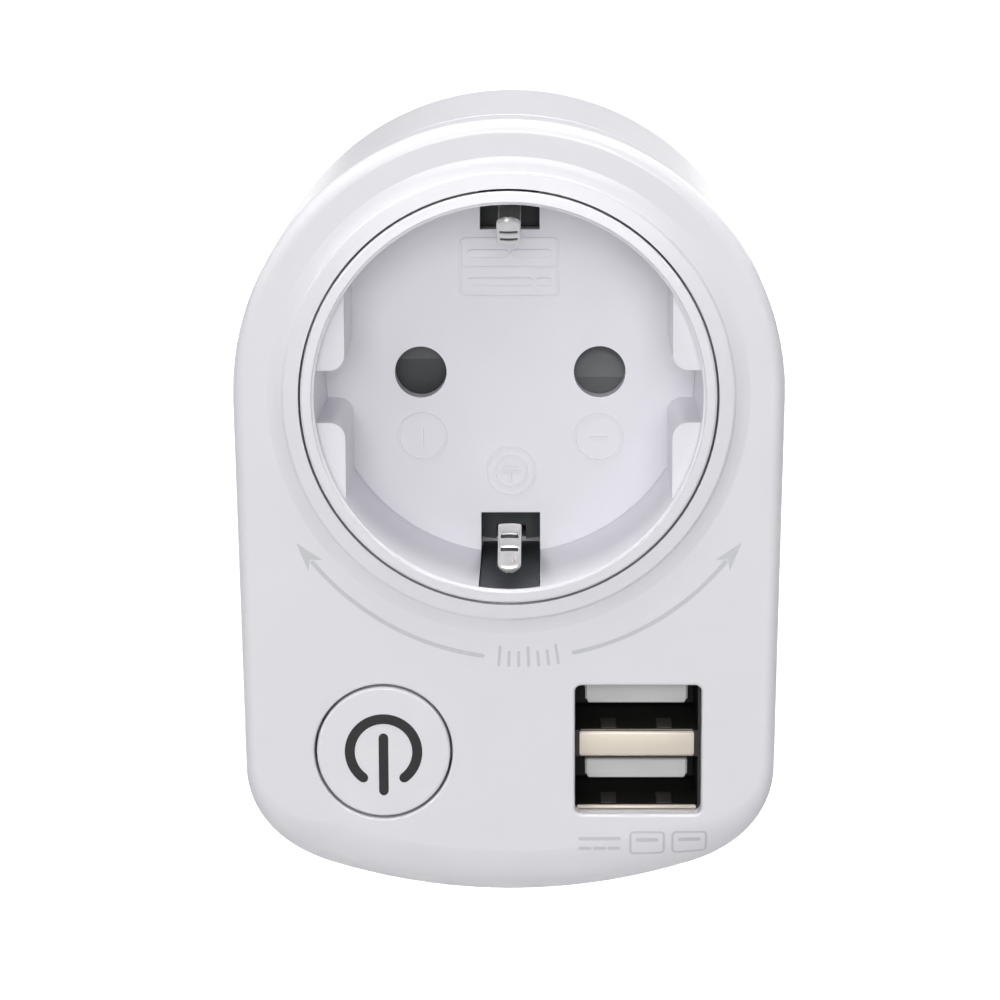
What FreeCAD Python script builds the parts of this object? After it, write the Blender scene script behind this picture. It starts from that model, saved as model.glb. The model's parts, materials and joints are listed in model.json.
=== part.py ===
import FreeCAD
import Part
import Sketcher
import math
import os

# A smart plug for a European wall socket, in millimetres.
# +X is to the right and +Z up as seen from the front, and +Y points into the wall.
# The origin is the middle of the plug's end face, where its two pins come out.
# A "depth" below is a distance behind the front-most plane, so y = front_y + depth.

doc = FreeCAD.newDocument("smart_plug")
sheet = doc.addObject("Spreadsheet::Sheet", "Sizes")

SIZES = {
    # casing outline: a round top, two nearly straight sides and a shallow curved bottom
    "top_radius": 28.2, "corner_x": 15.3, "corner_drop": 38.8, "corner_radius": 12.2,
    "bottom_radius": 62.2,
    # depths of the casing
    "front_y": -57.0, "face_depth": 1.05, "parting_depth": 7.4, "casing_depth": 39.5,
    "wall": 1.8, "face_wall": 2.0, "rear_wall": 2.0,
    "edge_round": 1.3, "bottom_round": 5.5, "rear_round": 1.5, "seam_groove": 0.15,
    "tongue_wall": 0.85, "tongue_height": 1.2, "tongue_gap": 0.06,
    # socket insert and the collar of the casing around it
    "insert_radius": 21.15, "collar_bore": 21.4, "collar_radius": 23.1, "cove_radius": 24.8,
    "cove_round": 3.5, "flange_radius": 23.6, "flange_depth": 3.9, "flange_thick": 2.3,
    "running_gap": 0.08, "axial_gap": 0.15, "bearing_radius": 25.3,
    "recess_radius": 19.8, "recess_floor_radius": 19.6, "recess_depth": 17.5,
    "floor_thick": 2.4, "floor_gap": 0.02, "insert_length": 34.8,
    "rib_x": 16.7, "rib_slot": 2.7, "rib_reach": 11.5, "rib_start": 1.8, "rib_round": 1.6,
    "pin_x": 9.5, "pin_hole_radius": 2.75, "window_half": 3.15, "window_low": 15.2,
    "window_start": 0.65, "window_end": 25.7, "window_high": 21.3,
    # plug body that goes into the wall socket
    "boss_radius": 18.5, "boss_length": 17.5, "boss_inner": 16.4, "boss_end": 2.0,
    "base_flange": 22.0, "base_start": 34.85, "base_thick": 2.5,
    "lug_half": 4.1, "lug_radius": 24.2, "stop_inner": 22.3, "stop_outer": 24.7,
    "lug_degrees": 10.2, "turn_degrees": 90.0, "stop_spare_degrees": 1.0,
    "pin_radius": 2.4, "pin_length": 19.0, "shank_radius": 1.9, "collar_pin": 3.2,
    "pin_tip": 1.7, "mouth_radius": 2.42, "mouth_depth": 0.6,
    "earth_hole_z": 10.0, "earth_hole_radius": 2.5,
    "screw_x": 6.5, "screw_z": 13.0, "post_radius": 2.6, "screw_hole": 1.35,
    "screw_radius": 1.25, "screw_head": 2.3, "head_pocket": 2.6,
    # shutter
    "post_pivot": 1.5, "shutter_bore": 1.57, "shutter_hub": 3.2, "shutter_half": 3.25,
    "shutter_reach": 13.2, "shutter_start": 20.2, "shutter_thick": 1.7,
    # slip rings and brushes
    "ring_outer": 21.75, "ring_width": 1.8, "ring_first": 27.0, "ring_pitch": 2.4,
    "brush_gap": 0.08, "brush_width": 1.6,
    # button
    "button_x": -13.1, "button_z": -37.2, "button_radius": 6.92, "button_hole": 7.18,
    "button_guide": 8.6, "button_thick": 1.6, "button_rim": 0.25,
    # twin charging port
    "port_x": 13.3, "port_z": -37.05, "port_half_width": 6.56, "port_half_height": 6.91,
    "can_x": 13.2, "can_z": -36.85, "can_half_width": 6.37, "can_half_height": 6.7,
    "port_round": 0.7, "port_rim": 0.3, "port_start": 3.15, "port_end": 17.4, "port_metal": 0.4,
    "cavity_height": 5.3, "cavity_shift": 4.05, "tongue_half_width": 5.34, "tongue_drop": 0.75,
    "tongue_plate": 1.84, "tongue_start": 5.0, "tongue_heel": 13.6, "contact_pitch": 2.2,
    # boards
    "main_depth": 34.0, "board_thick": 1.2, "control_depth": 11.2, "usb_board_depth": 17.6,
    "board_inset": 2.3, "core_clear": 26.6,
    # screw columns
    "upper_screw_x": 23.4, "upper_screw_z": -22.0, "lower_screw_x": 18.0,
    "lower_screw_z": -47.1, "column_radius": 3.0, "column_seat": 27.5,
}


class Size:
    """A number together with the spreadsheet expression that it comes from."""

    def __init__(self, value, text=None):
        self.value = float(value)
        self.text = text or repr(float(value))

    def _join(self, other, sign, value):
        return Size(value, f"({self.text} {sign} {size_of(other).text})")

    def __add__(self, other):
        return self._join(other, "+", self.value + size_of(other).value)

    def __radd__(self, other):
        return size_of(other) + self

    def __sub__(self, other):
        return self._join(other, "-", self.value - size_of(other).value)

    def __rsub__(self, other):
        return size_of(other) - self

    def __mul__(self, other):
        return self._join(other, "*", self.value * size_of(other).value)

    def __rmul__(self, other):
        return size_of(other) * self

    def __truediv__(self, other):
        return self._join(other, "/", self.value / size_of(other).value)

    def __neg__(self):
        return size_of(0) - self


def size_of(number):
    return number if isinstance(number, Size) else Size(number)


class Sheet:
    """Fills the spreadsheet and gives each of its cells as a Size."""

    def __init__(self, values):
        for row, (alias, number) in enumerate(values.items(), 1):
            sheet.set(f"A{row}", alias)
            sheet.set(f"B{row}", str(number))
            sheet.setAlias(f"B{row}", alias)
            setattr(self, alias, Size(number, f"Sizes.{alias}"))
        doc.recompute()


s = Sheet(SIZES)
SUBPARTS = []
FRONT = FreeCAD.Rotation(FreeCAD.Vector(1, 0, 0), -90)
TURNS = {"y": FRONT, "z": FreeCAD.Rotation(), "x": FreeCAD.Rotation(FreeCAD.Vector(0, 1, 0), 90)}


def keep(node, piece):
    """Names a finished piece as a sub-part."""
    piece.Label = node
    SUBPARTS.append(piece)
    return piece


def bind(piece, prop, number):
    piece.setExpression(prop, size_of(number).text)


def place(piece, x, y, z):
    for axis, number in zip("xyz", (x, y, z)):
        bind(piece, f"Placement.Base.{axis}", number)


def at(depth):
    """The y of a depth behind the front-most plane."""
    return s.front_y + depth


def box(name, x, depth, z):
    """A block between two x values, two depths and two z values."""
    piece = doc.addObject("Part::Box", name)
    bind(piece, "Length", x[1] - size_of(x[0]))
    bind(piece, "Width", depth[1] - size_of(depth[0]))
    bind(piece, "Height", z[1] - size_of(z[0]))
    place(piece, x[0], at(depth[0]), z[0])
    return piece


def block(name, centre_x, centre_z, width, height, depth):
    """A block around a point of the face, between two depths."""
    x = (centre_x - size_of(width) / 2, centre_x + size_of(width) / 2)
    z = (centre_z - size_of(height) / 2, centre_z + size_of(height) / 2)
    return box(name, x, depth, z)


def rod(name, radius, depth, x=0, z=0):
    """A cylinder that runs straight back between two depths."""
    piece = doc.addObject("Part::Cylinder", name)
    piece.Placement = FreeCAD.Placement(FreeCAD.Vector(), FRONT)
    bind(piece, "Radius", radius)
    bind(piece, "Height", depth[1] - size_of(depth[0]))
    place(piece, x, at(depth[0]), z)
    return piece


def bar(name, axis, radius, start, length):
    """A cylinder along x or z from a start point (x, depth, z)."""
    piece = doc.addObject("Part::Cylinder", name)
    piece.Placement = FreeCAD.Placement(FreeCAD.Vector(), TURNS[axis])
    bind(piece, "Radius", radius)
    bind(piece, "Height", length)
    place(piece, start[0], at(start[1]), start[2])
    return piece


def fuse(name, *pieces):
    piece = doc.addObject("Part::MultiFuse", name)
    piece.Shapes = list(pieces)
    piece.Refine = True
    return piece


def cut(name, base, *tools):
    piece = doc.addObject("Part::Cut", name)
    piece.Base = base
    piece.Tool = tools[0] if len(tools) == 1 else fuse(name + "_tools", *tools)
    piece.Refine = True
    return piece


def common(name, one, other):
    piece = doc.addObject("Part::Common", name)
    piece.Base = one
    piece.Tool = other
    return piece


def ring(name, outer, inner, depth, x=0, z=0):
    wide = (size_of(depth[0]) - 1, size_of(depth[1]) + 1)
    return cut(name, rod(name + "_outer", outer, depth, x, z), rod(name + "_inner", inner, wide, x, z))


def group(name, *pieces):
    """Separate solids that share one node."""
    piece = doc.addObject("Part::Compound", name)
    piece.Links = list(pieces)
    return piece


def round_edges(name, base, wanted, radii):
    """Rounds the edges that wanted(edge) picks; radii(edge) gives the radius at both ends."""
    doc.recompute()
    piece = doc.addObject("Part::Fillet", name)
    piece.Base = base
    edges = enumerate(base.Shape.Edges, 1)
    piece.Edges = [(number, *radii(edge)) for number, edge in edges if wanted(edge)]
    return piece


def points_of(sketch, points, closed=True):
    """Draws straight lines and arcs through points, each tied to the sheet.

    A point is (x, y), or (x, y, radius) where the edge that leaves it is an arc of that
    radius: a positive radius turns left, a negative one right.
    """
    ends = []
    count = len(points) if closed else len(points) - 1
    for i in range(count):
        here, there = points[i], points[(i + 1) % len(points)]
        p = FreeCAD.Vector(size_of(here[0]).value, size_of(here[1]).value, 0)
        q = FreeCAD.Vector(size_of(there[0]).value, size_of(there[1]).value, 0)
        if len(here) == 2:
            sketch.addGeometry(Part.LineSegment(p, q), False)
            ends.append((1, 2))
            continue
        radius = size_of(here[2])
        left = radius.value > 0
        half = (q - p) * 0.5
        side = FreeCAD.Vector(-half.y, half.x, 0) * (1 if left else -1)
        reach = math.sqrt(radius.value**2 - half.Length**2)
        bulge = p + half - side * ((abs(radius.value) - reach) / side.Length)
        sketch.addGeometry(Part.ArcOfCircle(p, bulge, q), False)
        ends.append((1, 2) if left else (2, 1))
        bound = radius if left else -radius
        number = sketch.addConstraint(Sketcher.Constraint("Radius", i, bound.value))
        sketch.renameConstraint(number, f"radius{i}")
        sketch.setExpression(f"Constraints.radius{i}", bound.text)
    for i in range(count if closed else count - 1):
        j = (i + 1) % count
        sketch.addConstraint(Sketcher.Constraint("Coincident", i, ends[i][1], j, ends[j][0]))
    for i, point in enumerate(points):
        edge, end = (i, ends[i][0]) if i < count else (count - 1, ends[-1][1])
        for axis, kind, number in (("x", "DistanceX", point[0]), ("y", "DistanceY", point[1])):
            number = size_of(number)
            tie = Sketcher.Constraint(kind, -1, 1, edge, end, number.value)
            sketch.renameConstraint(sketch.addConstraint(tie), f"{axis}{i}")
            sketch.setExpression(f"Constraints.{axis}{i}", number.text)
    return sketch


def body_sketch(body, name, role):
    sketch = body.newObject("Sketcher::SketchObject", name)
    plane = [feature for feature in body.Origin.OriginFeatures if feature.Role == role][0]
    sketch.AttachmentSupport = [(plane, "")]
    sketch.MapMode = "FlatFace"
    return sketch


def turned(name, profile):
    """A body turned about the plug's axis; profile points are (radius, depth)."""
    body = doc.addObject("PartDesign::Body", name)
    sketch = body_sketch(body, name + "_profile", "XY_Plane")
    points_of(sketch, [(p[0], at(p[1]), *p[2:]) for p in profile])
    feature = body.newObject("PartDesign::Revolution", name + "_turned")
    feature.Profile = sketch
    feature.ReferenceAxis = (sketch, ["V_Axis"])
    feature.Angle = 360
    body.Tip = feature
    return body


def moved_body(body, x, z):
    place(body, x, 0, z)
    return body


def strip(name, points, thick, width, angle=90):
    """Sheet metal bent along (radius, depth) points, in a half plane at an angle about the axis."""
    sketch = doc.addObject("Sketcher::SketchObject", name + "_line")
    turn = FreeCAD.Rotation(FreeCAD.Vector(0, 1, 0), -angle)
    sketch.Placement = FreeCAD.Placement(FreeCAD.Vector(), turn)
    points_of(sketch, [(p[0], at(p[1])) for p in points], closed=False)
    skin = doc.addObject("Part::Offset2D", name + "_skin")
    skin.Source = sketch
    skin.Mode = "Pipe"
    skin.Join = "Intersection"
    skin.Fill = True
    bind(skin, "Value", size_of(thick) / 2)
    piece = doc.addObject("Part::Extrusion", name)
    piece.Base = skin
    piece.DirMode = "Custom"
    piece.Dir = turn.multVec(FreeCAD.Vector(0, 0, 1))
    piece.Symmetric = True
    piece.Solid = True
    bind(piece, "LengthFwd", width)
    return piece


def lead(name, points, radius, bend):
    """An insulated lead through (x, depth, z) points, with its corners rounded."""
    path = [FreeCAD.Vector(x, at(depth).value, z) for x, depth, z in points]
    edges = []
    start = path[0]
    for before, corner, after in zip(path, path[1:], path[2:]):
        into = (corner - before).normalize()
        out = (after - corner).normalize()
        turn = into.getAngle(out)
        trim = bend * math.tan(turn / 2)
        first, last = corner - into * trim, corner + out * trim
        middle = corner + (out - into).normalize() * (bend / math.cos(turn / 2) - bend)
        edges.append(Part.LineSegment(start, first).toShape())
        edges.append(Part.Arc(first, middle, last).toShape())
        start = last
    edges.append(Part.LineSegment(start, path[-1]).toShape())
    spine = Part.Wire(edges)
    end = Part.makeCircle(radius, path[0], path[1] - path[0])
    piece = doc.addObject("Part::Feature", name)
    piece.Shape = spine.makePipeShell([Part.Wire([end])], True, False)
    return piece


def bottom_arc():
    """The radius of the casing's bottom arc and the z of its centre, tangent to both corners."""
    radius = s.bottom_radius.value
    reach = math.sqrt((radius - s.corner_radius.value)**2 - s.corner_x.value**2)
    return radius, reach - s.corner_drop.value


def casing_outline(name, inset):
    """The casing's outline, moved inwards by inset: six tangent arcs and lines."""
    sketch = doc.addObject("Sketcher::SketchObject", name)
    sketch.Placement = FreeCAD.Placement(FreeCAD.Vector(), FreeCAD.Rotation(FreeCAD.Vector(1, 0, 0), 90))
    top, corner, low = s.top_radius - inset, s.corner_radius - inset, s.bottom_radius - inset
    spread = s.top_radius.value - s.corner_radius.value
    apart = math.hypot(s.corner_x.value, s.corner_drop.value)
    lean = math.acos(spread / apart) - math.atan2(s.corner_drop.value, s.corner_x.value)
    bottom, centre_z = bottom_arc()
    foot = math.atan2(-s.corner_drop.value - centre_z, s.corner_x.value)

    def arc(x, z, radius, start, end):
        circle = Part.Circle(FreeCAD.Vector(x, z, 0), FreeCAD.Vector(0, 0, 1), radius)
        sketch.addGeometry(Part.ArcOfCircle(circle, start, end), False)

    def side(sign):
        ends = []
        for x, z, radius in ((0, 0, top.value), (s.corner_x.value, -s.corner_drop.value, corner.value)):
            across = sign * (x + radius * math.cos(lean))
            ends.append(FreeCAD.Vector(across, z + radius * math.sin(lean), 0))
        return ends

    arc(0, 0, top.value, lean, math.pi - lean)
    left, right = side(-1), side(1)
    sketch.addGeometry(Part.LineSegment(*left), False)
    arc(-s.corner_x.value, -s.corner_drop.value, corner.value, math.pi - lean, math.pi - foot)
    arc(0, centre_z, low.value, math.pi - foot, 2 * math.pi + foot)
    arc(s.corner_x.value, -s.corner_drop.value, corner.value, foot, lean)
    sketch.addGeometry(Part.LineSegment(right[1], right[0]), False)
    tie = Sketcher.Constraint
    joins = ((0, 2, 1, 1), (1, 2, 2, 1), (2, 2, 3, 1), (3, 2, 4, 1), (4, 2, 5, 1), (5, 2, 0, 1))
    for join in joins:
        sketch.addConstraint(tie("Tangent", *join))
    sketch.addConstraint(tie("Coincident", 0, 3, -1, 1))
    for label, constraint, number in (
        ("top", tie("Radius", 0, top.value), top),
        ("left_corner", tie("Radius", 2, corner.value), corner),
        ("right_corner", tie("Radius", 4, corner.value), corner),
        ("bottom", tie("Radius", 3, low.value), low),
        ("right_x", tie("DistanceX", -1, 1, 4, 3, s.corner_x.value), s.corner_x),
        ("right_z", tie("DistanceY", -1, 1, 4, 3, -s.corner_drop.value), -s.corner_drop),
        ("left_x", tie("DistanceX", -1, 1, 2, 3, -s.corner_x.value), -s.corner_x),
        ("left_z", tie("DistanceY", -1, 1, 2, 3, -s.corner_drop.value), -s.corner_drop),
    ):
        sketch.renameConstraint(sketch.addConstraint(constraint), label)
        sketch.setExpression(f"Constraints.{label}", number.text)
    return sketch


def casing_slab(name, inset, depth):
    """A solid slab of the casing's outline between two depths."""
    piece = doc.addObject("Part::Extrusion", name)
    piece.Base = casing_outline(name + "_outline", inset)
    piece.DirMode = "Custom"
    piece.Dir = FreeCAD.Vector(0, 1, 0)
    piece.Solid = True
    bind(piece, "LengthFwd", depth[1] - size_of(depth[0]))
    bind(piece, "Placement.Base.y", at(depth[0]))
    return piece


def in_plane(depth):
    """Picks the edges that lie wholly at a depth."""
    y = at(depth).value
    return lambda edge: all(abs(v.Point.y - y) < 1e-4 for v in edge.Vertexes) and abs(
        edge.CenterOfMass.y - y) < 1e-4


def rounding(small, large):
    """Front edge radii: small round the top and sides, growing to large along the bottom."""
    turn_z = -s.corner_drop.value + 1.0

    def radii(edge):
        ends = [edge.valueAt(t).z for t in (edge.FirstParameter, edge.LastParameter)]
        if edge.CenterOfMass.z < -s.corner_drop.value - s.corner_radius.value + 1.5:
            return large, large
        return tuple(small if z > turn_z - 2.5 else large for z in ends)

    return radii


# ---- casing --------------------------------------------------------------------------------


def screw_spots():
    """The four housing screws as (x, z)."""
    upper = [(side * s.upper_screw_x, s.upper_screw_z) for side in (-1, 1)]
    lower = [(side * s.lower_screw_x, s.lower_screw_z) for side in (-1, 1)]
    return upper + lower


def rounded_block(name, centre_x, centre_z, width, height, depth, radius):
    """A block whose four edges along the depth are rounded."""
    def runs_back(edge):
        first, last = edge.Vertexes[0].Point, edge.Vertexes[-1].Point
        return abs(first.x - last.x) < 1e-6 and abs(first.z - last.z) < 1e-6

    plain = block(name + "_block", centre_x, centre_z, width, height, depth)
    return round_edges(name, plain, runs_back, lambda edge: (radius.value, radius.value))


def near(x, z, reach):
    """Picks the edges whose middle lies within reach of a point of the face."""
    return lambda edge: math.hypot(edge.CenterOfMass.x - x.value, edge.CenterOfMass.z - z.value) < reach.value


def make_front_shell():
    slab = casing_slab("front_slab", 0, (s.face_depth, s.parting_depth))
    skin = round_edges("front_skin", slab, in_plane(s.face_depth),
                       rounding(s.edge_round.value, s.bottom_round.value))
    collar = turned("front_collar", [
        (s.collar_bore, 0.24), (s.collar_radius - 0.3, 0.34, 0.36), (s.collar_radius, 0.6, -s.cove_round),
        (s.cove_radius, s.face_depth + 0.01), (s.bearing_radius, s.face_depth + 0.4),
        (s.bearing_radius, s.flange_depth + s.flange_thick + 0.4),
        (s.flange_radius + s.running_gap, s.flange_depth + s.flange_thick + 0.4),
        (s.flange_radius + s.running_gap, s.flange_depth - s.axial_gap),
        (s.collar_bore, s.flange_depth - s.axial_gap),
    ])
    hollow_start = s.face_depth + s.face_wall
    hollow_slab = casing_slab("front_hollow_slab", s.wall, (hollow_start, s.parting_depth + 1))
    hollow = round_edges("front_hollow", hollow_slab, in_plane(hollow_start),
                         rounding(0.6, 4.2))
    shell = cut("front_open", skin, hollow, rod("front_mouth", s.collar_bore, (-1, s.parting_depth)))
    guide = rod("button_guide_rod", s.button_guide, (s.face_depth + 1, 6.9), s.button_x, s.button_z)
    bosses = [
        rod(f"front_boss{i}", s.column_radius, (s.face_depth + 1, s.parting_depth - 0.02), x, z)
        for i, (x, z) in enumerate(screw_spots())
    ]
    trim_start = s.face_depth + 1
    trim_slab = casing_slab("front_trim_slab", 0.9, (trim_start, s.parting_depth))
    trim = round_edges("front_trim", trim_slab, in_plane(trim_start), rounding(0.4, 4.6))
    trimmed = common("front_inner", fuse("front_inner_all", guide, *bosses), trim)
    solid = fuse("front_solid", shell, collar, trimmed)
    rebate = cut("front_rebate", casing_slab("rebate_out", s.wall - s.tongue_wall - s.tongue_gap,
                                             (s.parting_depth - s.tongue_height - 0.1, s.parting_depth + 1)),
                 casing_slab("rebate_in", s.wall + s.tongue_gap, (5, s.parting_depth + 2)))
    pilots = [
        rod(f"front_pilot{i}", s.screw_radius + 0.02, (s.face_depth + 3.2, s.parting_depth + 1), x, z)
        for i, (x, z) in enumerate(screw_spots())
    ]
    window = rounded_block("port_window", s.port_x, s.port_z, s.port_half_width * 2,
                           s.port_half_height * 2, (0, 5), s.port_round)
    hole = rod("button_hole", s.button_hole, (0, 8), s.button_x, s.button_z)
    opened = cut("front_opened", solid, rebate, window, hole, *pilots)
    at_button = near(s.button_x, s.button_z, s.button_hole)
    at_port = near(s.port_x, s.port_z, s.port_half_height + s.port_half_width)
    softened = round_edges(
        "front_rims", opened,
        lambda edge: in_plane(s.face_depth)(edge) and (at_button(edge) or at_port(edge)),
        lambda edge: (s.button_rim.value,) * 2 if at_button(edge) else (s.port_rim.value,) * 2)
    keep("front_shell", seam_chamfer("front_seam", softened))


def seam_chamfer(name, piece):
    """Breaks the outer edge at the parting line of either half of the casing."""
    doc.recompute()
    chamfer = doc.addObject("Part::Chamfer", name)
    chamfer.Base = piece
    in_seam = in_plane(s.parting_depth)
    groove = s.seam_groove.value
    chamfer.Edges = [
        (number, groove, groove) for number, edge in enumerate(piece.Shape.Edges, 1)
        if in_seam(edge) and on_outline(edge.valueAt((edge.FirstParameter + edge.LastParameter) / 2))
    ]
    return chamfer


def on_outline(point):
    """Whether a point lies on the casing's outer outline."""
    corner = math.hypot(abs(point.x) - s.corner_x.value, point.z + s.corner_drop.value)
    top = math.hypot(point.x, point.z)
    low = point.z < -s.corner_drop.value
    bottom, centre_z = bottom_arc()
    foot = math.hypot(point.x, point.z - centre_z)
    return (
        (low and abs(corner - s.corner_radius.value) < 0.05)
        or (point.z >= -1 and abs(top - s.top_radius.value) < 0.05)
        or (low and abs(foot - bottom) < 0.05)
        or (-s.corner_drop.value <= point.z < 0 and abs(point.x) > s.top_radius.value - 1)
    )


def make_rear_shell():
    tub = casing_slab("rear_slab", 0, (s.parting_depth, s.casing_depth))
    outer = round_edges("rear_skin", tub, in_plane(s.casing_depth),
                        lambda edge: (s.rear_round.value, s.rear_round.value))
    floor = s.casing_depth - s.rear_wall
    hollow = casing_slab("rear_hollow", s.wall, (s.parting_depth - 1, floor))
    shell = cut("rear_open", outer, hollow)
    tongue = cut("rear_tongue", casing_slab("tongue_out", s.wall - s.tongue_wall,
                                            (s.parting_depth - s.tongue_height, s.parting_depth + 1)),
                 casing_slab("tongue_in", s.wall, (5, s.parting_depth + 2)))
    columns = [
        rod(f"rear_column{i}", s.column_radius, (s.parting_depth + 0.02, floor + 0.5), x, z)
        for i, (x, z) in enumerate(screw_spots())
    ]
    inside = common("rear_columns", fuse("rear_columns_all", *columns),
                    casing_slab("rear_trim", 0.9, (s.parting_depth, s.casing_depth - 0.5)))
    posts = [
        rod(f"board_post{i}", 1.6, (s.main_depth + s.board_thick, floor + 0.5), x, z)
        for i, (x, z) in enumerate(((-22, -31), (22, -31), (-12.5, -48.5), (12.5, -48.5)))
    ]
    collar = ring("rear_collar", s.stop_outer + 1.6, s.stop_outer, (s.base_start, floor + 0.5))
    stop_ring = ring("stop_ring", s.stop_outer + 0.5, s.stop_inner, (s.base_start, floor + 0.5))
    sweep = s.turn_degrees + s.lug_degrees + s.stop_spare_degrees
    free = doc.addObject("Part::Cylinder", "stop_sweep")
    bind(free, "Radius", s.stop_outer)
    bind(free, "Height", 6)
    bind(free, "Angle", sweep * 2)
    low = math.radians(90 - sweep.value)
    free.Placement = FreeCAD.Placement(
        FreeCAD.Vector(0, at(s.base_start).value + 5, 0),
        FreeCAD.Rotation(FreeCAD.Vector(0, 1, 0), -math.degrees(low)).multiply(
            FreeCAD.Rotation(FreeCAD.Vector(1, 0, 0), 90)))
    bind(free, "Placement.Base.y", at(s.base_start) + 5)
    stops = cut("stop_blocks", stop_ring, free)
    trimmed = common("rear_rings", fuse("rear_rings_all", collar, stops),
                     casing_slab("rings_trim", 0.9, (s.base_start - 1, s.casing_depth - 0.5)))
    solid = fuse("rear_solid", shell, tongue, inside, trimmed, *posts)
    opening = rod("rear_opening", s.boss_radius + s.running_gap, (s.casing_depth - 4, s.casing_depth + 1))
    holes = []
    for i, (x, z) in enumerate(screw_spots()):
        holes.append(rod(f"rear_hole{i}", s.screw_hole, (0, s.casing_depth), x, z))
        holes.append(rod(f"rear_pocket{i}", s.screw_head, (s.column_seat, s.casing_depth + 1), x, z))
    keep("rear_shell", seam_chamfer("rear_seam", cut("rear_opened", solid, opening, *holes)))


def make_housing_screws():
    screws = []
    for i, (x, z) in enumerate(screw_spots()):
        shank = rod(f"housing_shank{i}", s.screw_radius, (s.face_depth + 3.5, s.column_seat + 0.5), x, z)
        head = rod(f"housing_head{i}", s.screw_head - 0.25, (s.column_seat, s.column_seat + 1.8), x, z)
        slot = block(f"housing_slot{i}", x, z, 3.2, 0.7, (s.column_seat + 1, s.column_seat + 2))
        cross = block(f"housing_cross{i}", x, z, 0.7, 3.2, (s.column_seat + 1, s.column_seat + 2))
        screws.append(cut(f"housing_screw{i}", fuse(f"housing_blank{i}", shank, head), slot, cross))
    keep("housing_screws", group("housing_screw_set", *screws))


# ---- core: socket insert, plug body and the metal between them -------------------------------


def guide_rib(name, side, upper):
    """One half of a side guide rib: a chord across the recess with a rounded inner corner."""
    z = (s.rib_slot, s.rib_reach) if upper else (-s.rib_reach, -s.rib_slot)
    x = (s.rib_x, s.rib_x + 4) if side > 0 else (-s.rib_x - 4, -s.rib_x)
    plain = box(name + "_block", x, (s.rib_start, s.recess_depth), z)
    edge_x = side * s.rib_x.value
    edge_z = s.rib_slot.value * (1 if upper else -1)

    def inner_corner(edge):
        return all(abs(v.Point.x - edge_x) < 1e-4 and abs(v.Point.z - edge_z) < 1e-4 for v in edge.Vertexes)

    rounded = round_edges(name + "_round", plain, inner_corner,
                          lambda edge: (s.rib_round.value, s.rib_round.value))
    return common(name, rounded, rod(name + "_limit", s.recess_radius + 0.4, (0, s.recess_depth + 1)))


def window_cut(name, side, deep):
    z = (s.window_low, s.window_high) if side > 0 else (-s.window_high, -s.window_low)
    return box(name, (-s.window_half, s.window_half), deep, z)


def earth_windows(name):
    """The two openings through the recess wall and floor for the sprung earth clips."""
    limit = rod(name + "_limit", s.insert_radius + 0.06, (0, s.insert_length))
    return [common(f"{name}{i}", window_cut(f"{name}_box{i}", side, (s.window_start, s.window_end)), limit)
            for i, side in enumerate((-1, 1))]


def make_socket_insert():
    """The ring that lines the recess, with its flange, guide ribs and the skirt behind the floor."""
    flange_end = s.flange_depth + s.flange_thick
    wall = turned("insert_wall", [
        (s.recess_floor_radius, s.recess_depth), (s.recess_radius, 0.3, -0.32),
        (s.recess_radius + 0.3, 0.0), (s.insert_radius - 0.2, 0.08), (s.insert_radius, 0.25),
        (s.insert_radius, s.flange_depth), (s.flange_radius, s.flange_depth),
        (s.flange_radius, flange_end), (s.insert_radius, flange_end),
        (s.insert_radius, s.insert_length), (s.recess_floor_radius, s.insert_length),
    ])
    ribs = [guide_rib(f"rib{i}", side, upper)
            for i, (side, upper) in enumerate(((1, True), (1, False), (-1, True), (-1, False)))]
    solid = fuse("insert_solid", wall, *ribs)
    tabs = [ring_tab(f"tab_slot{i}", i, 0.2) for i in range(3)]
    keep("socket_insert", cut("insert_cut", solid, *earth_windows("earth_window"), *tabs))


def make_socket_floor():
    """The disc that closes the recess, with the pin holes and the two screw posts behind it."""
    floor_back = s.recess_depth + s.floor_thick
    disc = rod("floor_disc", s.recess_floor_radius - s.floor_gap, (s.recess_depth, floor_back))
    tools = earth_windows("floor_window")
    posts = []
    for i, side in enumerate((-1, 1)):
        x, z = side * s.screw_x, side * s.screw_z
        posts.append(rod(f"floor_post{i}", s.post_radius, (floor_back - 0.5, s.insert_length), x, z))
        pilot_depth = (floor_back + 1, s.insert_length + 1)
        tools.append(rod(f"floor_pilot{i}", s.screw_radius + 0.02, pilot_depth, x, z))
        hole_depth = (s.recess_depth - 1, floor_back + 1)
        tools.append(rod(f"pin_hole{i}", s.pin_hole_radius, hole_depth, side * s.pin_x))
    keep("socket_floor", cut("floor_cut", fuse("floor_solid", disc, *posts), *tools))


RING_ANGLES = (150.0, -150.0, 30.0)
RING_NODES = ("line_slip_ring", "load_slip_ring", "neutral_slip_ring")


def ring_depth(number):
    start = s.ring_first + s.ring_pitch * number
    return start, start + s.ring_width


def ring_tab(name, number, spare):
    """The tab of a slip ring that passes inwards through the insert's skirt."""
    low, high = ring_depth(number)
    piece = doc.addObject("Part::Box", name)
    bind(piece, "Length", s.ring_outer - 17.0)
    bind(piece, "Width", high - low - 0.6 + 2 * spare)
    bind(piece, "Height", 2.0 + 2 * spare)
    turn = FreeCAD.Rotation(FreeCAD.Vector(0, 1, 0), -RING_ANGLES[number])
    corner = turn.multVec(FreeCAD.Vector(16.8, 0, -1.0 - spare))
    piece.Placement = FreeCAD.Placement(corner, turn)
    bind(piece, "Placement.Base.y", at(low + 0.3 - spare))
    return piece


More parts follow.
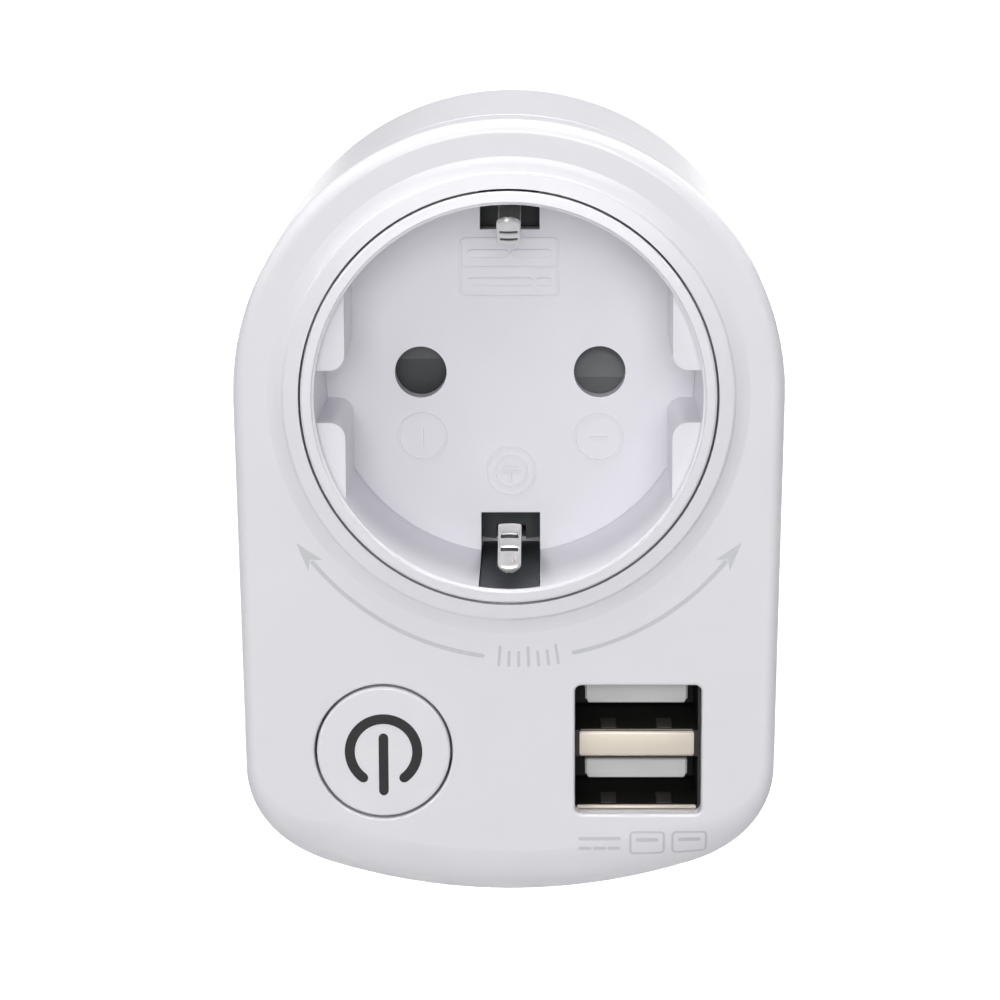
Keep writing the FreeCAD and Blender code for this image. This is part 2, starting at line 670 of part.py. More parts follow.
def make_slip_rings():
    for number, node in enumerate(RING_NODES):
        band = ring(node + "_band", s.ring_outer, s.insert_radius, ring_depth(number))
        keep(node, fuse(node + "_all", band, ring_tab(node + "_tab", number, 0)))


def make_contact_carrier():
    disc = rod("carrier_disc", 19.4, (23.5, 25.5))
    cradles = [block(f"cradle{i}", side * s.pin_x, 0, 11.2, 12.4, (25.0, 36.2))
               for i, side in enumerate((-1, 1))]
    pockets = [block(f"cradle_pocket{i}", side * s.pin_x, 0, 9.2, 10.0, (26.5, 39.0))
               for i, side in enumerate((-1, 1))]
    holes = [rod(f"carrier_hole{i}", 3.3, (22, 27), side * s.pin_x) for i, side in enumerate((-1, 1))]
    pivot = rod("shutter_pivot", s.post_pivot, (s.shutter_start, 24.0))
    solid = fuse("carrier_solid", disc, pivot, *cradles)
    slots = [block(f"strap_slot{i}", 0, side * 18.6, 3.2, 1.6, (22, 27)) for i, side in enumerate((-1, 1))]
    screws = [rod(f"carrier_clear{i}", s.post_radius + 0.2, (22, 39), side * s.screw_x, side * s.screw_z)
              for i, side in enumerate((-1, 1))]
    keep("contact_carrier", cut("carrier_cut", solid, *pockets, *holes, *slots, *screws))


def make_earth_guards():
    """Two dark backs that close the earth windows behind the sprung clips."""
    guards = []
    for i, side in enumerate((-1, 1)):
        z = (20.05, 22.0) if side > 0 else (-22.0, -20.05)
        tower = box(f"guard_block{i}", (-3.05, 3.05), (1.0, 25.5), z)
        guards.append(common(f"guard{i}", tower, rod(f"guard_limit{i}", 21.05, (0, 26))))
    keep("earth_guards", group("earth_guard_set", *guards))


def make_contact(node, side):
    """A split sleeve that grips one pin of the plug put into the socket."""
    x = side * s.pin_x
    sleeve = ring(node + "_sleeve", 3.0, 2.42, (26.9, 37.0), x)
    flare = ring(node + "_flare", 3.9, 3.1, (26.6, 27.4), x)
    neck = ring(node + "_neck", 3.3, 2.6, (27.2, 27.9), x)
    base = rod(node + "_base", 3.0, (36.4, 37.2), x)
    tail = block(node + "_tail", x, -3.6, 2.4, 2.6, (36.4, 37.2))
    solid = fuse(node + "_solid", sleeve, flare, neck, base, tail)
    split = block(node + "_split", x, 0, 0.7, 9, (26, 35.4))
    keep(node, cut(node + "_cut", solid, split))


def make_plug_base():
    start, end = s.base_start, s.casing_depth + s.boss_length
    back = s.base_start + s.base_thick
    shell = turned("base_turned", [
        (s.boss_inner, start), (s.base_flange, start), (s.base_flange, back), (s.boss_radius, back),
        (s.boss_radius, end - 1.0, 1.0), (s.boss_radius - 1.0, end), (0, end), (0, end - s.boss_end),
        (s.boss_inner, end - s.boss_end),
    ])
    tubes = [rod(f"pin_tube{i}", 4.3, (45.5, end - 1), side * s.pin_x) for i, side in enumerate((-1, 1))]
    sleeve_tube = rod("sleeve_tube", 4.0, (44, end - 1), 0, s.earth_hole_z)
    screw_tubes = [rod(f"screw_tube{i}", 3.4, (45.5, end - 1), side * s.screw_x, side * s.screw_z)
                   for i, side in enumerate((-1, 1))]
    pads = [block(f"guide_pad{i}", side * 15.6, 0, 3.0, 8.4, (back - 1, end - 1))
            for i, side in enumerate((-1, 1))]
    lug = box("stop_lug", (-s.lug_half, s.lug_half), (start, back), (s.base_flange - 1, s.lug_radius + 0.2))
    rounded = common("stop_lug_round", lug, rod("lug_limit", s.lug_radius, (start - 1, back + 1)))
    solid = fuse("base_solid", shell, sleeve_tube, rounded, *tubes, *screw_tubes, *pads)
    tools = []
    for i, side in enumerate((-1, 1)):
        tools.append(rod(f"shank_hole{i}", s.shank_radius, (40, end + 1), side * s.pin_x))
        tools.append(rod(f"pin_mouth{i}", s.mouth_radius, (end - s.mouth_depth, end + 1), side * s.pin_x))
    tools.append(rod("earth_mouth", s.earth_hole_radius, (50, end + 1), 0, s.earth_hole_z))
    tools.append(rod("earth_bore", 3.0, (43, end - s.boss_end), 0, s.earth_hole_z))
    for i, side in enumerate((-1, 1)):
        tools.append(rod(f"base_screw{i}", s.screw_hole, (40, end), side * s.screw_x, side * s.screw_z))
        tools.append(rod(f"base_pocket{i}", s.head_pocket, (end - 3, end + 1),
                         side * s.screw_x, side * s.screw_z))
        tools.append(block(f"guide_groove{i}", side * 18.0, 0, 2.8, 5.2, (back + 3.5, end + 1)))
        tools.append(block(f"earth_groove{i}", 0, side * 17.6, 5.8, 3.4, (back + 4.0, end + 1)))
    keep("plug_base", cut("base_cut", solid, *tools))


def make_pin(node, side):
    end = s.casing_depth + s.boss_length
    tip = end + s.pin_length
    pin = turned(node + "_turned", [
        (0, 41.5), (1.2, 41.5), (1.2, 44.0), (s.collar_pin, 44.0), (s.collar_pin, 45.5),
        (s.shank_radius, 45.5), (s.shank_radius, end), (s.pin_radius, end),
        (s.pin_radius, tip - s.pin_tip, s.pin_tip), (s.pin_radius - s.pin_tip, tip), (0, tip),
    ])
    keep(node, moved_body(pin, side * s.pin_x, 0))


def make_core_screws():
    screws = []
    head = s.casing_depth + s.boss_length - 3
    for i, side in enumerate((-1, 1)):
        x, z = side * s.screw_x, side * s.screw_z
        shank = rod(f"core_shank{i}", s.screw_radius, (22.5, head + 0.5), x, z)
        cap = rod(f"core_head{i}", s.head_pocket - 0.2, (head, head + 2.0), x, z)
        slot = block(f"core_slot{i}", x, z, 3.2, 0.7, (head + 1.1, head + 3))
        cross = block(f"core_cross{i}", x, z, 0.7, 3.2, (head + 1.1, head + 3))
        screws.append(cut(f"core_screw{i}", fuse(f"core_blank{i}", shank, cap), slot, cross))
    keep("core_screws", group("core_screw_set", *screws))


def both_ways(points):
    """A profile that starts at the axis, continued to its mirror image on the far side."""
    return [(-radius, depth) for radius, depth in reversed(points)] + list(points)


def make_earth_parts():
    keep("earth_clips", strip("clip_strap", both_ways([
        (18.6, 30.4), (18.6, 19.0), (17.6, 16.6), (15.1, 9.4), (15.2, 8.0), (18.2, 1.7)]), 0.55, 2.4))
    keep("plug_earth_strap", strip("side_strap", both_ways([
        (15.9, 40.6), (15.9, 43.0), (17.0, 44.8), (17.9, 49.0), (17.0, 54.0)]), 0.6, 4.0))
    keep("earth_post", rod("earth_post_rod", 1.6, (30.7, 40.3)))
    tube = ring("earth_tube", 2.95, s.earth_hole_radius, (40.95, 55.0), 0, s.earth_hole_z)
    slit = block("earth_slit", 0, s.earth_hole_z - 2.6, 0.5, 1.6, (44.5, 56))
    keep("earth_sleeve", cut("earth_sleeve_cut", tube, slit))


def make_core_leads():
    """Insulated leads of the fixed core; each ends just short of the metal it is soldered to."""
    keep("line_lead", lead("line_lead_tube", [
        (-13.3, 28.2, 7.7), (-13.3, 33.0, 7.7), (-12.4, 36.4, 7.4), (-9.5, 39.4, 5.2), (-9.5, 39.4, 0),
        (-9.5, 41.4, 0)], 0.9, 1.0))
    keep("load_lead", lead("load_lead_tube", [
        (-13.3, 30.6, -7.7), (-13.3, 33.4, -7.7), (-12.6, 37.0, -7.5), (-11.6, 39.6, -6.6),
        (-9.5, 39.6, -4.2), (-9.5, 37.4, -4.2)], 0.9, 0.9))
    keep("neutral_lead", lead("neutral_lead_tube", [
        (13.3, 33.0, 7.7), (13.3, 35.4, 7.7), (12.4, 37.6, 7.4), (9.5, 39.4, 5.2), (9.5, 39.4, 0),
        (9.5, 41.4, 0)], 0.9, 1.0))
    keep("neutral_link", fuse("neutral_link_all", rod("neutral_link_post", 0.9, (37.3, 43.9), 9.5, -3.4),
                              block("neutral_link_foot", 9.5, -2.65, 1.6, 2.7, (42.6, 43.9))))


# ---- shutter -------------------------------------------------------------------------------


def make_shutter():
    start, end = s.shutter_start + 0.05, s.shutter_start + s.shutter_thick
    wings = box("shutter_wings", (-s.shutter_reach, s.shutter_reach), (start, end),
                (-s.shutter_half, s.shutter_half))
    rounded = common("shutter_disc", wings, rod("shutter_limit", s.shutter_reach, (start - 1, end + 1)))
    hub = rod("shutter_hub_rod", s.shutter_hub, (start, end + 0.7))
    ramps = []
    for i, side in enumerate((-1, 1)):
        ramp = doc.addObject("Part::Box", f"shutter_ramp{i}")
        bind(ramp, "Length", s.shutter_reach)
        bind(ramp, "Width", 2)
        bind(ramp, "Height", 8)
        lean = FreeCAD.Rotation(FreeCAD.Vector(1, 0, 0), -side * 14)
        ramp.Placement = FreeCAD.Placement(FreeCAD.Vector(3.6 if side > 0 else -16.8, 0, -4), lean)
        offset = lean.multVec(FreeCAD.Vector(0, 2.0, 4))
        ramp.Placement.Base = FreeCAD.Vector(ramp.Placement.Base.x, 0, 0) - offset
        ramp.Placement.Base.x = 3.6 if side > 0 else -16.8
        bind(ramp, "Placement.Base.y", at(start + 0.25) - offset.y)
        ramps.append(ramp)
    solid = fuse("shutter_solid", rounded, hub)
    bore = rod("shutter_bore_rod", s.shutter_bore, (start - 1, end + 3))
    keep("shutter", cut("shutter_cut", solid, bore, *ramps))


def make_shutter_spring():
    """Two turns of wire round the pivot, behind the shutter's hub, with a straight leg."""
    coil = Part.makeHelix(0.36, 0.5, 2.1)
    spring_wire = 0.14
    start = FreeCAD.Vector(2.1, 0, 0)
    end = Part.Wire([Part.makeCircle(spring_wire, start, FreeCAD.Vector(0, 1, 0.03))])
    piece = doc.addObject("Part::Feature", "shutter_spring_coil")
    piece.Shape = Part.Wire(coil.Edges).makePipeShell([end], True, True)
    piece.Placement = FreeCAD.Placement(
        FreeCAD.Vector(0, at(s.shutter_start + s.shutter_thick).value + 0.9, 0), FRONT)
    keep("shutter_spring", piece)


# ---- button --------------------------------------------------------------------------------


def make_button():
    x, z = s.button_x, s.button_z
    top = s.face_depth + 0.02
    cap = turned("button_turned", [
        (0, top), (s.button_radius - 0.3, top, 0.3), (s.button_radius, top + 0.3), (s.button_radius, 7.0),
        (s.button_guide - 0.7, 7.0), (s.button_guide - 0.7, 7.8), (5.6, 7.8), (5.6, top + s.button_thick),
        (1.6, top + s.button_thick), (1.6, 6.75), (0, 6.75)])
    keep("button_cap", moved_body(cap, x, z))
    keep("switch_plunger", rod("plunger_rod", 1.65, (6.8, 8.5), x, z))
    shell = block("switch_block", x, z, 6.0, 6.0, (7.7, 10.9))
    bore = rod("switch_bore", 1.73, (7, 9.9), x, z)
    legs = [block(f"switch_leg{i}", x + dx, z + dz, 0.7, 0.5, (10.5, 13.2))
            for i, (dx, dz) in enumerate(((-2.2, 3.2), (2.2, 3.2), (-2.2, -3.2), (2.2, -3.2)))]
    keep("switch_body", fuse("switch_all", cut("switch_case", shell, bore), *legs))
    keep("switch_dome", rod("switch_dome_disc", 1.6, (8.55, 8.75), x, z))


# ---- charging port -------------------------------------------------------------------------


def make_charging_port():
    x, z = s.can_x, s.can_z
    back = s.port_end - s.port_metal
    width, height = (s.can_half_width + s.port_metal) * 2, (s.can_half_height + s.port_metal) * 2
    outer = block("port_can", x, z, width, height, (s.port_start, s.port_end))
    cavities, tongues, contacts = [], [], []
    for i, side in enumerate((-1, 1)):
        centre = z + side * s.cavity_shift
        top = centre + s.cavity_height / 2
        cavities.append(block(f"port_cavity{i}", x, centre, s.can_half_width * 2, s.cavity_height,
                              (s.port_start - 1, back)))
        plate_top = top - s.tongue_drop
        tongue = box(f"port_tongue{i}", (x - s.tongue_half_width, x + s.tongue_half_width),
                     (s.tongue_start, back - 0.05), (plate_top - s.tongue_plate, plate_top))
        heel = block(f"port_heel{i}", x, centre, s.can_half_width * 2 - 0.1, s.cavity_height - 0.1,
                     (s.tongue_heel, back - 0.05))
        tongues.append(fuse(f"port_tongue_set{i}", tongue, heel))
        for j in range(4):
            contacts.append(block(f"port_contact{i}{j}", x + (j - 1.5) * s.contact_pitch,
                                  plate_top - s.tongue_plate - 0.12, 1.0, 0.24,
                                  (s.tongue_start + 0.6, s.tongue_heel)))
    keep("usb_shell", cut("port_shell_cut", outer, *cavities))
    keep("usb_tongues", group("port_tongues", *tongues))
    keep("usb_contacts", group("port_contacts", *contacts))
    depth = (s.usb_board_depth, s.usb_board_depth + s.board_thick)
    board = block("usb_board_block", x + 0.8, z - 0.1, 16.4, 17.6, depth)
    gap = rod("usb_board_notch", s.column_radius + 0.2, (16, 20), s.lower_screw_x, s.lower_screw_z)
    keep("usb_board", cut("usb_board_cut", board, gap))


# ---- boards and what stands on them ----------------------------------------------------------


def make_boards():
    depth = (s.main_depth, s.main_depth + s.board_thick)
    blank = casing_slab("main_blank", s.board_inset, depth)
    core = rod("main_core_clear", s.core_clear, (30, 40))
    above = box("main_above", (-40, 40), (30, 40), (-14.5, 40))
    holes = [rod(f"main_hole{i}", s.column_radius + 0.2, (30, 40), x, z)
             for i, (x, z) in enumerate(screw_spots())]
    keep("main_board", cut("main_board_cut", blank, core, above, *holes))
    depth = (s.control_depth, s.control_depth + s.board_thick)
    blank = common("control_blank", casing_slab("control_slab", s.board_inset, depth),
                   box("control_area", (-30, 5.6), (10, 14), (-60, -27.6)))
    holes = [rod(f"control_hole{i}", s.column_radius + 0.2, (10, 14), x, z)
             for i, (x, z) in enumerate(screw_spots())]
    core = rod("control_core_clear", s.core_clear + 0.4, (9, 15))
    legs = [block(f"control_leg{i}", s.button_x + dx, s.button_z + dz, 0.9, 0.7, (10, 14))
            for i, (dx, dz) in enumerate(((-2.2, 3.2), (2.2, 3.2), (-2.2, -3.2), (2.2, -3.2)))]
    keep("control_board", cut("control_board_cut", blank, core, *holes, *legs))
    pins = [block(f"link_pin{i}", -3.2 + 2.54 * i, -44.8, 0.64, 0.64, (12.45, 33.95)) for i in range(4)]
    base = block("link_base", 0.61, -44.8, 9.8, 1.5, (31.4, 33.95))
    keep("board_link", fuse("board_link_all", base, *pins))
    pins = [block(f"usb_pin{i}", 9.0 + 2.54 * i, -44.75, 0.64, 0.64, (18.85, 33.95)) for i in range(2)]
    base = block("usb_link_base", 10.27, -44.75, 4.9, 1.5, (31.4, 33.95))
    keep("usb_link", fuse("usb_link_all", base, *pins))


def make_radio():
    board = block("radio_board_block", -13.0, -35.7, 16.0, 15.0, (13.4, 14.2))
    keep("radio_board", board)
    keep("radio_shield", block("radio_shield_block", -13.0, -36.8, 12.0, 11.0, (14.25, 16.4)))
    keep("status_led", block("status_led_block", -21.0, -33.0, 1.6, 0.8, (10.4, 11.15)))


def can(name, radius, x, z, depth):
    """An electrolytic capacitor can standing on the main board, with its rolled neck."""
    body = rod(name + "_can", radius, (depth[0], depth[1]), x, z)
    neck = ring(name + "_neck", radius + 0.5, radius - 0.25, (depth[1] - 2.2, depth[1] - 1.6), x, z)
    vent = block(name + "_vent", x, z, 0.3, radius * 1.2, (depth[0] - 0.5, depth[0] + 0.25))
    cross = block(name + "_cross", x, z, radius * 1.2, 0.3, (depth[0] - 0.5, depth[0] + 0.25))
    return cut(name, body, neck, vent, cross)


def make_power_parts():
    top = 33.95
    keep("relay", block("relay_case", -14.1, -32.7, 10.2, 15.0, (21.4, top)))
    cans = [can(f"input_can{i}", 3.9, -4.3, z, (19.8, top)) for i, z in enumerate((-31.4, -40.0))]
    keep("input_capacitors", group("input_can_set", *cans))
    cans = [can(f"output_can{i}", 3.1, 19.6, z, (24.4, top)) for i, z in enumerate((-30.2, -36.8))]
    keep("output_capacitors", group("output_can_set", *cans))
    x, z = 8.6, -36.2
    yoke = block("core_yoke", x, z, 15.4, 5.0, (20.6, 33.0))
    windows = [block(f"core_window{i}", x + side * 4.6, z, 2.6, 6.0, (23.4, 30.2))
               for i, side in enumerate((-1, 1))]
    keep("transformer_core", cut("core_cut", yoke, *windows))
    bobbin = block("bobbin_block", x, z, 11.6, 13.0, (24.0, 29.6))
    middle = block("bobbin_middle", x, z, 6.7, 5.1, (23, 31))
    legs = [block(f"bobbin_leg{i}", x + side * 7.5, z, 3.3, 5.1, (23, 31)) for i, side in enumerate((-1, 1))]
    keep("transformer_winding", cut("winding_cut", bobbin, middle, *legs))
    front = block("bobbin_front_flange", x, z, 11.6, 15.0, (23.2, 23.9))
    rear = block("bobbin_rear_flange", x, z, 11.6, 15.0, (29.7, 30.4))
    feet = [block(f"bobbin_foot{i}", x, z + side * 6.2, 11.6, 2.4, (30.2, top))
            for i, side in enumerate((-1, 1))]
    ways = [block(f"bobbin_way{i}", x, z, 16.0, 5.1, (20, 33.1)) for i in range(2)]
    keep("transformer_bobbin", group("bobbin_pieces", cut("bobbin_front", front, ways[0]),
                                     cut("bobbin_rear", fuse("bobbin_rear_all", rear, *feet), ways[1])))
    keep("bridge_rectifier", block("bridge_block", -10.0, -46.8, 8.2, 5.8, (30.4, top)))
    keep("fuse_case", block("fuse_block", 0.8, -47.6, 7.6, 3.8, (26.4, top)))
    keep("varistor", bar("varistor_disc", "z", 3.7, (10.4, 30.1, -49.6), 3.8))
    keep("filter_choke", fuse("choke_all", rod("choke_drum", 2.0, (27.5, top), 17.4, -23.9),
                              rod("choke_top", 3.0, (26.6, 27.6), 17.4, -23.9),
                              rod("choke_foot", 3.0, (32.9, top), 17.4, -23.9)))
    keep("choke_winding", ring("choke_turns", 2.9, 2.02, (27.65, 32.85), 17.4, -23.9))
    keep("power_chip", block("power_chip_block", 6.0, -35.0, 5.0, 4.0, (35.25, 36.8)))


BRUSHES = (("line_brush", -132.0), ("load_brush", -142.0), ("neutral_brush", -40.0))


def make_brushes():
    for number, (node, angle) in enumerate(BRUSHES):
        low, high = ring_depth(number)
        middle = (low + high) / 2
        tip = s.ring_outer + s.brush_gap + 0.15
        keep(node, strip(node + "_leaf", [
            (27.8, s.main_depth - 0.2), (27.8, middle - 1.6), (25.6, middle - 2.4), (24.2, middle - 1.9),
            (tip, middle), (tip + 0.5, middle + 0.8)], 0.3, s.brush_width, angle))


def make_everything():
    make_front_shell()
    make_rear_shell()
    make_housing_screws()
    make_socket_insert()
    make_socket_floor()
    make_slip_rings()
    make_contact_carrier()
    make_earth_guards()
    make_contact("line_contact", -1)
    make_contact("neutral_contact", 1)
    make_plug_base()
    make_pin("line_pin", -1)
    make_pin("neutral_pin", 1)
    make_core_screws()
    make_earth_parts()
    make_core_leads()
    make_shutter()
    make_shutter_spring()
    make_button()
    make_charging_port()
    make_boards()
    make_radio()
    make_power_parts()
    make_brushes()


def write_parts():
    doc.recompute()
    failed = [item.Label for item in doc.Objects if {"Invalid", "Error"} & set(item.State)]
    if failed:
        raise RuntimeError(f"these failed to build: {failed}")
    os.makedirs("parts", exist_ok=True)
    for piece in SUBPARTS:
        if piece.Shape.isNull() or not piece.Shape.isValid():
            raise RuntimeError(f"{piece.Label} has no valid shape")
        piece.Shape.exportStep(os.path.join("parts", piece.Label + ".step"))


make_everything()
write_parts()
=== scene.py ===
import json
import math

import bmesh
import bpy
from mathutils import Matrix, Vector
from mathutils.bvhtree import BVHTree


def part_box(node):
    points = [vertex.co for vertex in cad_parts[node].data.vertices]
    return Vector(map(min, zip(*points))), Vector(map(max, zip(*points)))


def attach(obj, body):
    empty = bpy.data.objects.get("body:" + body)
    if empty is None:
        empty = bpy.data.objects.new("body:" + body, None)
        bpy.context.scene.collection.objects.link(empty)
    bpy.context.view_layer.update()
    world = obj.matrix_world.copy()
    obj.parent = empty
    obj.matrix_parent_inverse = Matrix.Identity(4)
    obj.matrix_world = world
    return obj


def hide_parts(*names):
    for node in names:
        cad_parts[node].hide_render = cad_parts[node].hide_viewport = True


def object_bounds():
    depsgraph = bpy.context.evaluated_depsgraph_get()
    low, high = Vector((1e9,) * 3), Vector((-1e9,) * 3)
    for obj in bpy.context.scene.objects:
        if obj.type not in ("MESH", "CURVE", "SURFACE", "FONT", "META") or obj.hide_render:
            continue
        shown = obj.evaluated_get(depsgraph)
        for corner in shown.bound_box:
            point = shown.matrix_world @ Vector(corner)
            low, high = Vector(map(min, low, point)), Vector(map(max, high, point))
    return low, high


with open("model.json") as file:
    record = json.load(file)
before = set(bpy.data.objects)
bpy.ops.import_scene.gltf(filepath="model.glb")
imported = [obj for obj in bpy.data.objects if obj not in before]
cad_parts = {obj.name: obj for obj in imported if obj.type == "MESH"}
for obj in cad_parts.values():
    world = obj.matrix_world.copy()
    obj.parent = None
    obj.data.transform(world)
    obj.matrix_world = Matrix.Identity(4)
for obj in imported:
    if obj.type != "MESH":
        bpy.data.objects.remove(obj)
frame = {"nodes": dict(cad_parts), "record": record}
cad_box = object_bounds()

# The looks of a rotating smart plug, in metres: +X is right, +Y into the wall and +Z up, and
# the origin is the middle of the plug's end face. Numbers multiplied by MM are millimetres.

MM = 0.001
NODES = frame["nodes"]
MOUNTS = {mount["name"]: Vector(mount["pos_m"]) for mount in frame["record"]["mounts"]}
FRONT = cad_box[0][1]
FACE = FRONT + 1.05 * MM          # the flat front of the casing, behind the socket collar
FLOOR_Z = cad_box[0][2] - 0.20    # the floor is 0.2 m below the object
PRINT_RISE = 0.03 * MM            # how far printed marks stand off the plastic
SUNK = 0.03 * MM                  # how far a raised mark's foot is let into the plastic


# ---- camera, light and floor ---------------------------------------------------------------

CAMERA_UP = math.radians(11.34)
CAMERA_RIGHT = math.radians(0.76)
CAMERA_ROLL = math.radians(-0.22)
CAMERA_DISTANCE = 0.360
CAMERA_TARGET = Vector((-0.9 * MM, FRONT, -10.36 * MM))


def make_camera():
    """Looks at the face from slightly above and from very slightly to the right."""
    level = math.cos(CAMERA_UP)
    back = Vector((math.sin(CAMERA_RIGHT) * level, -math.cos(CAMERA_RIGHT) * level, math.sin(CAMERA_UP)))
    data = bpy.data.cameras.new("camera")
    data.lens = 127.2
    data.sensor_width = 36.0
    data.clip_start = 0.01
    data.clip_end = 50.0
    camera = bpy.data.objects.new("camera", data)
    camera.location = CAMERA_TARGET + back * CAMERA_DISTANCE
    turn = back.to_track_quat("Z", "Y").to_matrix().to_4x4()
    roll = Matrix.Rotation(CAMERA_ROLL, 4, "Z")
    camera.matrix_world = Matrix.Translation(camera.location) @ turn @ roll
    bpy.context.scene.collection.objects.link(camera)
    bpy.context.scene.camera = camera


def make_softbox(name, place, size, power, aim=None, spread=180.0):
    """A rectangular area light, aimed at the middle of the object unless aim says otherwise."""
    data = bpy.data.lights.new(name, "AREA")
    data.shape = "RECTANGLE"
    data.size, data.size_y = size
    data.energy = power
    data.spread = math.radians(spread)
    light = bpy.data.objects.new(name, data)
    light.location = Vector(place)
    towards = Vector(aim or (0.0, 0.5 * FRONT, -0.013)) - light.location
    light.rotation_euler = towards.to_track_quat("-Z", "Y").to_euler()
    bpy.context.scene.collection.objects.link(light)


# Each light's place, size, power in watts, spread in degrees and whether it shines straight
# down. Those that do light the floor behind the object, which makes it white.
LIGHTS = {
    "key": ((-0.45, -0.75, 0.60), (0.60, 0.60), 2.15, 180.0, False),
    "front": ((0.0, -1.20, 0.22), (0.50, 0.50), 5.9, 180.0, False),
    "overhead": ((0.0, -0.05, 0.80), (0.50, 0.40), 0.70, 45.0, False),
    "backdrop_light": ((0.0, 3.0, 1.6), (4.4, 3.4), 170.0, 95.0, True),
    "near_backdrop_light": ((0.0, 1.05, 0.40), (2.0, 0.9), 24.0, 95.0, True),
    "rear": ((0.6, 1.1, 0.5), (0.60, 0.60), 3.0, 180.0, False),
    "horizon_light": ((0.0, 6.6, 1.8), (6.0, 3.6), 200.0, 120.0, True),
}
WORLD_COLOUR = (0.97, 0.98, 1.0, 1.0)
WORLD_STRENGTH = 0.235


def make_studio():
    """Soft lights, a dim even surround and plain colours without a film look."""
    for name, (place, size, power, spread, downward) in LIGHTS.items():
        aim = (place[0], place[1], 0.0) if downward else None
        make_softbox(name, place, size, power, aim=aim, spread=spread)
    world = bpy.data.worlds.new("studio")
    world.use_nodes = True
    shade = world.node_tree.nodes["Background"]
    shade.inputs["Color"].default_value = WORLD_COLOUR
    shade.inputs["Strength"].default_value = WORLD_STRENGTH
    bpy.context.scene.world = world
    bpy.context.scene.view_settings.view_transform = "Standard"


def make_floor():
    """A wide sheet of pale paper below and behind the object."""
    bpy.ops.mesh.primitive_plane_add(size=20.0, location=(0.0, 4.0, FLOOR_Z))
    floor = bpy.context.object
    floor.name = "floor"
    paper = surface("floor_paper", (0.55, 0.55, 0.55), 0.9, tint=0.004, grain=0.02, grain_scale=90)
    floor.data.materials.append(paper)


# ---- materials -----------------------------------------------------------------------------


def lit(colour, factor):
    """The colour made lighter or darker, with full alpha."""
    return tuple(min(1.0, channel * factor) for channel in colour[:3]) + (1.0,)


def add_noise(tree, place, scale, detail):
    """A noise pattern over the mapped object coordinates; returns its value."""
    node = tree.nodes.new("ShaderNodeTexNoise")
    node.inputs["Scale"].default_value = scale
    node.inputs["Detail"].default_value = detail
    tree.links.new(place, node.inputs["Vector"])
    return node.outputs["Fac"]


def add_drift(tree, value, colour, tint):
    """A colour that drifts darker and lighter by tint."""
    drift = tree.nodes.new("ShaderNodeValToRGB")
    for element, position, factor in zip(drift.color_ramp.elements, (0.3, 0.7), (1 - tint, 1 + tint)):
        element.position = position
        element.color = lit(colour, factor)
    tree.links.new(value, drift.inputs["Fac"])
    return drift.outputs["Color"]


def add_wear(tree, shade, colour, wear):
    """Edges rubbed to a lighter shade."""
    shape = tree.nodes.new("ShaderNodeNewGeometry")
    edges = tree.nodes.new("ShaderNodeMapRange")
    edges.inputs["From Min"].default_value = 0.52
    edges.inputs["From Max"].default_value = 0.62
    edges.inputs["To Max"].default_value = wear
    tree.links.new(shape.outputs["Pointiness"], edges.inputs["Value"])
    worn = tree.nodes.new("ShaderNodeMix")
    worn.data_type = "RGBA"
    tree.links.new(edges.outputs["Result"], worn.inputs["Factor"])
    tree.links.new(shade, worn.inputs["A"])
    worn.inputs["B"].default_value = lit(colour, 1.25)
    return worn.outputs["Result"]


def surface(name, colour, roughness, metallic=0.0, tint=0.03, tint_scale=140, spread=0.08,
            grain=0.25, grain_scale=2600, stretch=(1, 1, 1), coat=0.0, wear=0.0):
    """A moulded or metal finish: colour drifts, roughness is uneven and the skin has a grain.

    tint is how far the colour drifts, spread how far the roughness does, grain the strength
    of the bump, stretch the direction of brushing, and wear how much edges are polished.
    """
    material = bpy.data.materials.new(name)
    material.use_nodes = True
    tree = material.node_tree
    shader = tree.nodes["Principled BSDF"]
    shader.inputs["Metallic"].default_value = metallic
    shader.inputs["Coat Weight"].default_value = coat
    shader.inputs["Coat Roughness"].default_value = 0.12
    where = tree.nodes.new("ShaderNodeTexCoord")
    scaled = tree.nodes.new("ShaderNodeMapping")
    scaled.inputs["Scale"].default_value = stretch
    tree.links.new(where.outputs["Object"], scaled.inputs["Vector"])
    place = scaled.outputs["Vector"]
    shade = add_drift(tree, add_noise(tree, place, tint_scale, 4.0), colour, tint)
    if wear:
        shade = add_wear(tree, shade, colour, wear)
    dull = tree.nodes.new("ShaderNodeMapRange")
    dull.inputs["To Min"].default_value = max(0.02, roughness - spread)
    dull.inputs["To Max"].default_value = min(1.0, roughness + spread)
    tree.links.new(add_noise(tree, place, tint_scale * 4, 3.0), dull.inputs["Value"])
    bump = tree.nodes.new("ShaderNodeBump")
    bump.inputs["Strength"].default_value = grain
    bump.inputs["Distance"].default_value = 0.02 * MM
    tree.links.new(add_noise(tree, place, grain_scale, 2.0), bump.inputs["Height"])
    tree.links.new(shade, shader.inputs["Base Color"])
    tree.links.new(dull.outputs["Result"], shader.inputs["Roughness"])
    tree.links.new(bump.outputs["Normal"], shader.inputs["Normal"])
    return material


BRUSHED = {"metallic": 1.0, "stretch": (1.0, 12.0, 1.0), "grain_scale": 900, "grain": 0.2}

